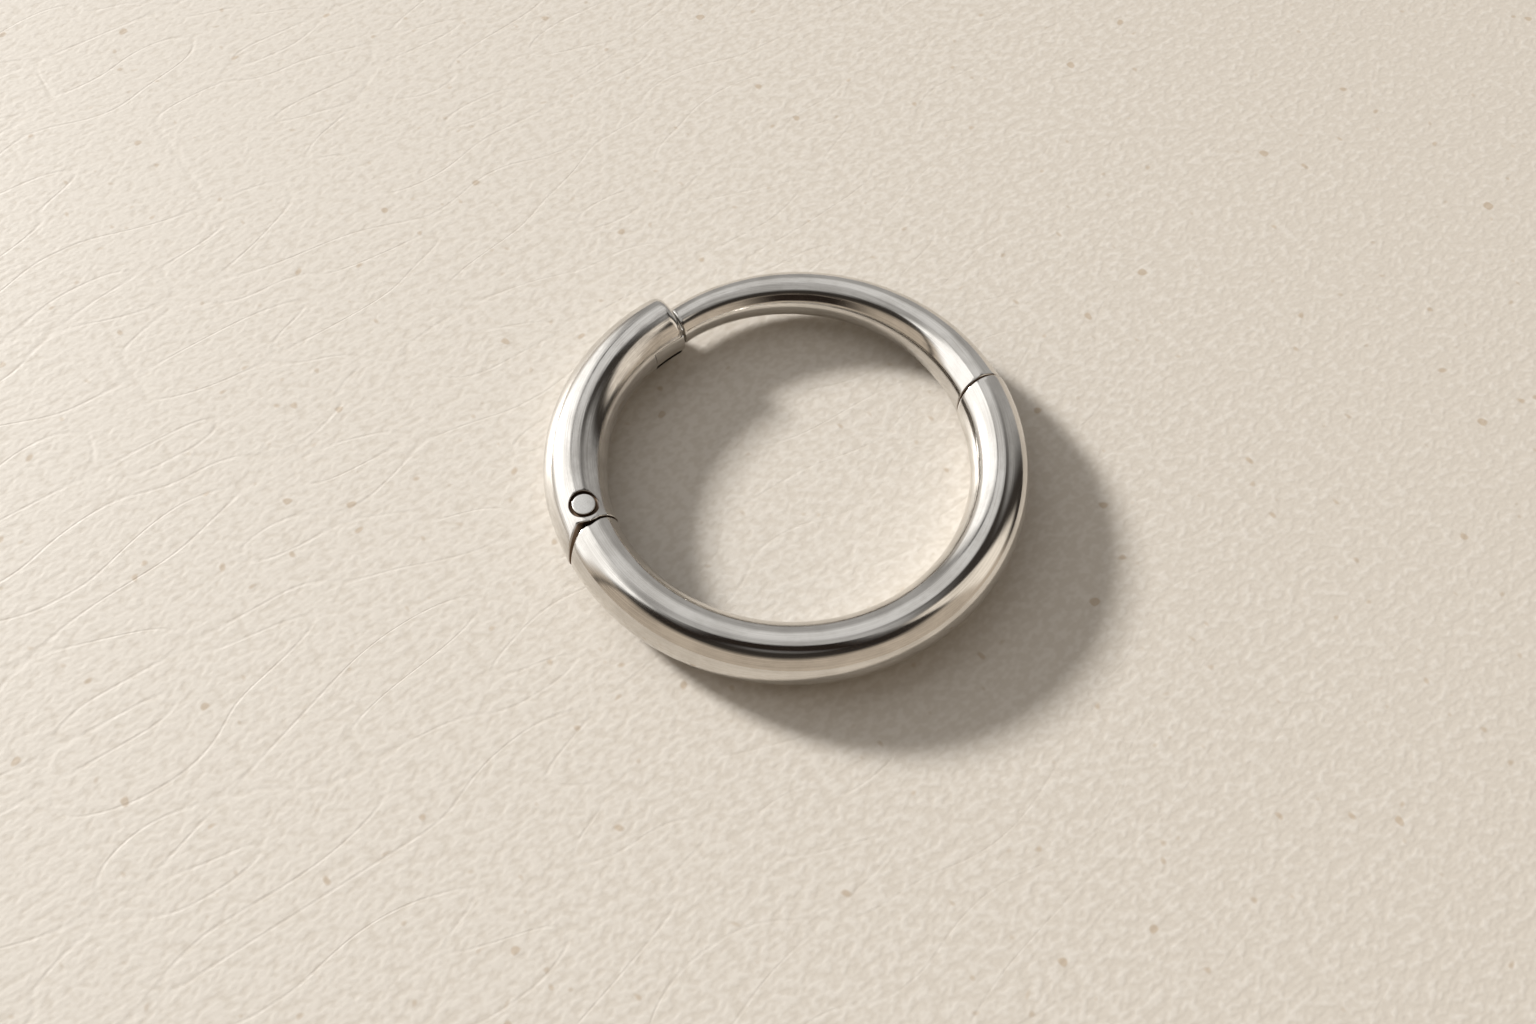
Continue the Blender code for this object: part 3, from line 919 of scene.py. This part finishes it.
def makeFloor():
    half = floor["size"] / 2
    corners = [(-half, -half, 0), (half, -half, 0), (half, half, 0), (-half, half, 0)]
    thing = makeObject("floorSheet", corners, [(0, 1, 2, 3)])
    material, tree, shader = newMaterial("floorPaper")
    place = tree.nodes.new("ShaderNodeTexCoord").outputs["Object"]
    turned = turnAboutZ(tree, place, radians(floor["turn"]))
    grain = noise(tree, vectorNode(tree, "MULTIPLY", turned, floor["grainStretch"]), *floor["grainNoise"])
    creased = noise(tree, vectorNode(tree, "MULTIPLY", turned, floor["creaseStretch"]), *floor["creaseNoise"])
    ridge = mathNode(tree, "ABSOLUTE", mathNode(tree, "SUBTRACT", creased, floor["creaseMiddle"]))
    crease = mapRange(tree, ridge, 0.0, floor["creaseSpread"], 1.0, 0.0, "SMOOTHSTEP")
    specks = mapRange(tree, noise(tree, place, *floor["speckNoise"]), *floor["speckRange"],
                      0.0, floor["speckAmount"], "SMOOTHSTEP")
    # painted sheen: the colour lightens to the left, where the creases also deepen
    leftward = mapRange(tree, splitXYZ(tree, place)["X"], -floor["leftSpan"], floor["leftSpan"],
                        0.5 + floor["leftPaintedSheen"], 0.5 - floor["leftPaintedSheen"])
    grainShade = mapRange(tree, grain, *floor["grainRange"], *floor["grainShade"])
    # the grain's tone together with the painted sheen
    shade = mathNode(tree, "ADD", leftward, grainShade)
    plain = mixColour(tree, shade, floor["colour"], floor["light"])
    roughness = mapRange(tree, grain, *floor["grainRange"], *floor["grainRoughness"])
    height = mathNode(tree, "MULTIPLY", grain, floor["grainHeight"])
    folds = mathNode(tree, "MULTIPLY", mathNode(tree, "MULTIPLY", crease, leftward), floor["creaseDepth"])
    shader.inputs["Specular IOR Level"].default_value = floor["specular"]
    tree.links.new(mixColour(tree, specks, plain, floor["speck"]), shader.inputs["Base Color"])
    tree.links.new(roughness, shader.inputs["Roughness"])
    tree.links.new(bump(tree, mathNode(tree, "SUBTRACT", height, folds), 1.0), shader.inputs["Normal"])
    thing.data.materials.append(material)


# a dark card with faded sides over the front of the ring, seen only in its reflections
card = dict(                      # places and fades in ring radii from the ring's middle
    halfWidth=1.35,
    low=(-1.19, 0.35),            # y and z of the lower and the upper edge
    high=(-0.85, 2.3),
    sideFade=(0.35, 1.3),
    lowFade=(0.42, 0.72),
    highFade=(1.9, 2.28),
    colour=(0.014, 0.010, 0.008),
)


def makeCard():
    middle = Vector((ringCentre.x, ringCentre.y, 0))
    ends = ((-1, card["low"]), (1, card["low"]), (1, card["high"]), (-1, card["high"]))
    corners = [Vector((side * card["halfWidth"], *end)) for side, end in ends]
    thing = makeObject("darkCard", [middle + corner * ring["radius"] for corner in corners],
                       [(0, 1, 2, 3)])
    material, tree, shader = newMaterial("cardBlack")
    x, _, z = splitXYZ(tree, tree.nodes.new("ShaderNodeTexCoord").outputs["Object"])
    aside = mathNode(tree, "ABSOLUTE", mathNode(tree, "SUBTRACT", x, middle.x))
    fades = ((aside, card["sideFade"], (1.0, 0.0)), (z, card["lowFade"], (0.0, 1.0)),
             (z, card["highFade"], (1.0, 0.0)))
    masks = [mapRange(tree, value, low * ring["radius"], high * ring["radius"], *levels, "SMOOTHSTEP")
             for value, (low, high), levels in fades]
    opacity = mathNode(tree, "MULTIPLY", mathNode(tree, "MULTIPLY", masks[0], masks[1]), masks[2])
    shader.inputs["Base Color"].default_value = (*card["colour"], 1)
    shader.inputs["Specular IOR Level"].default_value = 0.0
    shader.inputs["Roughness"].default_value = 1.0
    tree.links.new(opacity, shader.inputs["Alpha"])
    thing.data.materials.append(material)
    thing.visible_camera = False
    thing.visible_diffuse = False
    thing.visible_shadow = False
    thing.visible_transmission = False


# surroundings: soft patches of light and dark by direction.
# azimuth 0 is +Y, 90 is +X; half sizes and soft edges in degrees
patchColumns = ("azimuth", "elevation", "halfWidth", "halfHeight", "edge", "level", "tint")
patches = (
    (0, 90, 200, 20, 7, 0.50, (1.00, 0.985, 0.96)),
    (180, 15, 95, 30, 7, 0.56, (1.00, 0.85, 0.68)),
    (-108, 35, 1.6, 34, 1.6, 0.10, (1.00, 0.85, 0.70)),
    (15, 22, 40, 28, 8, 0.42, (1.00, 0.98, 0.95)),
    (-2, 52, 24, 19, 8, 0.75, (1.00, 0.99, 0.975)),
    (-64, 2, 36, 14, 6, 0.62, (1.00, 0.92, 0.82)),
    (-64, 39, 36, 28, 6, 1.40, (1.00, 0.99, 0.97)),
    (-22.5, 46, 1.6, 12, 1.0, 0.05, (1.00, 0.95, 0.90)),
    (87, 40, 13, 26, 5, 1.0, (1.00, 0.91, 0.79)),
    (-59, 23, 5, 3.5, 1.2, 370.0, (1.00, 0.99, 0.965)),
)
skyBase = (0.040, 0.034, 0.029)
backdrop = (0.72, 0.68, 0.62)     # what the camera sees past the floor


def buildSoftPatch():
    group, given, out = newGroup("softPatch", [
        ("Azimuth And Elevation", "Vector", None), ("Middle", "Vector", None),
        ("Full Inside", "Vector", None), ("None Outside", "Vector", None)], [("Mask", "Float")])
    away = vectorNode(group, "SUBTRACT", given["Azimuth And Elevation"], given["Middle"])
    fade = group.nodes.new("ShaderNodeMapRange")
    fade.data_type = "FLOAT_VECTOR"
    fade.interpolation_type = "SMOOTHSTEP"
    # inputs 7 to 10 are the vector ones: from low and high, to low and high
    ends = (given["Full Inside"], given["None Outside"], (1, 1, 1), (0, 0, 0))
    feed(group, fade.inputs["Vector"], vectorNode(group, "ABSOLUTE", away))
    for index, value in enumerate(ends, 7):
        feed(group, fade.inputs[index], value)
    x, y, _ = splitXYZ(group, fade.outputs["Vector"])
    group.links.new(mathNode(group, "MULTIPLY", x, y), out["Mask"])
    return group


def makeSurroundings():
    world = bpy.data.worlds.new("studioWorld")
    bpy.context.scene.world = world
    world.use_nodes = True
    tree = world.node_tree
    softPatch = buildSoftPatch()
    x, y, z = splitXYZ(tree, tree.nodes.new("ShaderNodeTexCoord").outputs["Generated"])
    azimuth = mathNode(tree, "DEGREES", mathNode(tree, "ARCTAN2", x, y))
    elevation = mathNode(tree, "DEGREES", mathNode(tree, "ARCSINE", z))
    eitherWay = mathNode(tree, "ABSOLUTE", azimuth)
    ways = [joinXYZ(tree, turned, elevation) for turned in (azimuth, eitherWay)]
    colour = skyBase
    for row in patches:
        patch = dict(zip(patchColumns, row))
        halfSize = (patch["halfWidth"], patch["halfHeight"])
        mask = placeGroup(tree, softPatch, {
            # a patch straight to the front counts the azimuth from both sides
            "Azimuth And Elevation": ways[patch["azimuth"] == 180],
            "Middle": (patch["azimuth"], patch["elevation"], 0),
            "Full Inside": (*(half - patch["edge"] for half in halfSize), 0),
            "None Outside": (*(half + patch["edge"] for half in halfSize), 1)})["Mask"]
        lit = tuple(channel * patch["level"] for channel in patch["tint"])
        colour = mixColour(tree, mask, colour, lit)
    toCamera = tree.nodes.new("ShaderNodeLightPath").outputs["Is Camera Ray"]
    seen = mixColour(tree, toCamera, colour, backdrop)
    tree.links.new(seen, tree.nodes["Background"].inputs["Color"])


# camera: above the front of the ring, close, looking down at 61 degrees with a slight roll
cameraView = dict(
    distance=6.757,               # in ring radii, as is the target
    elevation=61.0,
    roll=3.16,
    target=(-0.0804, -0.296),
    lens=34.29,
    sensor=36.0,
    clip=(mm, 1.0),
)


def makeCamera():
    radius = ring["radius"]
    tilt = radians(cameraView["elevation"])
    ahead = Vector((0, cos(tilt), -sin(tilt)))
    target = ringCentre + Vector((*cameraView["target"], 0)) * radius
    right = Vector((1, 0, 0))
    up = right.cross(ahead)
    roll = radians(cameraView["roll"])
    sideways = right * cos(roll) + up * sin(roll)
    upward = up * cos(roll) - right * sin(roll)
    data = bpy.data.cameras.new("photoCamera")
    data.sensor_width = cameraView["sensor"]
    data.lens = cameraView["lens"]
    data.clip_start, data.clip_end = cameraView["clip"]
    camera = bpy.data.objects.new("photoCamera", data)
    bpy.context.scene.collection.objects.link(camera)
    axes = Matrix((sideways, upward, -ahead)).transposed()
    place = target - ahead * (cameraView["distance"] * radius)
    camera.matrix_world = Matrix.Translation(place) @ axes.to_4x4()
    bpy.context.scene.camera = camera


makeCamera()
print("camera set")
dressPieces()
makeFloor()
makeCard()
makeSurroundings()
bpy.context.scene.view_settings.view_transform = "Standard"
print("floor and light set")
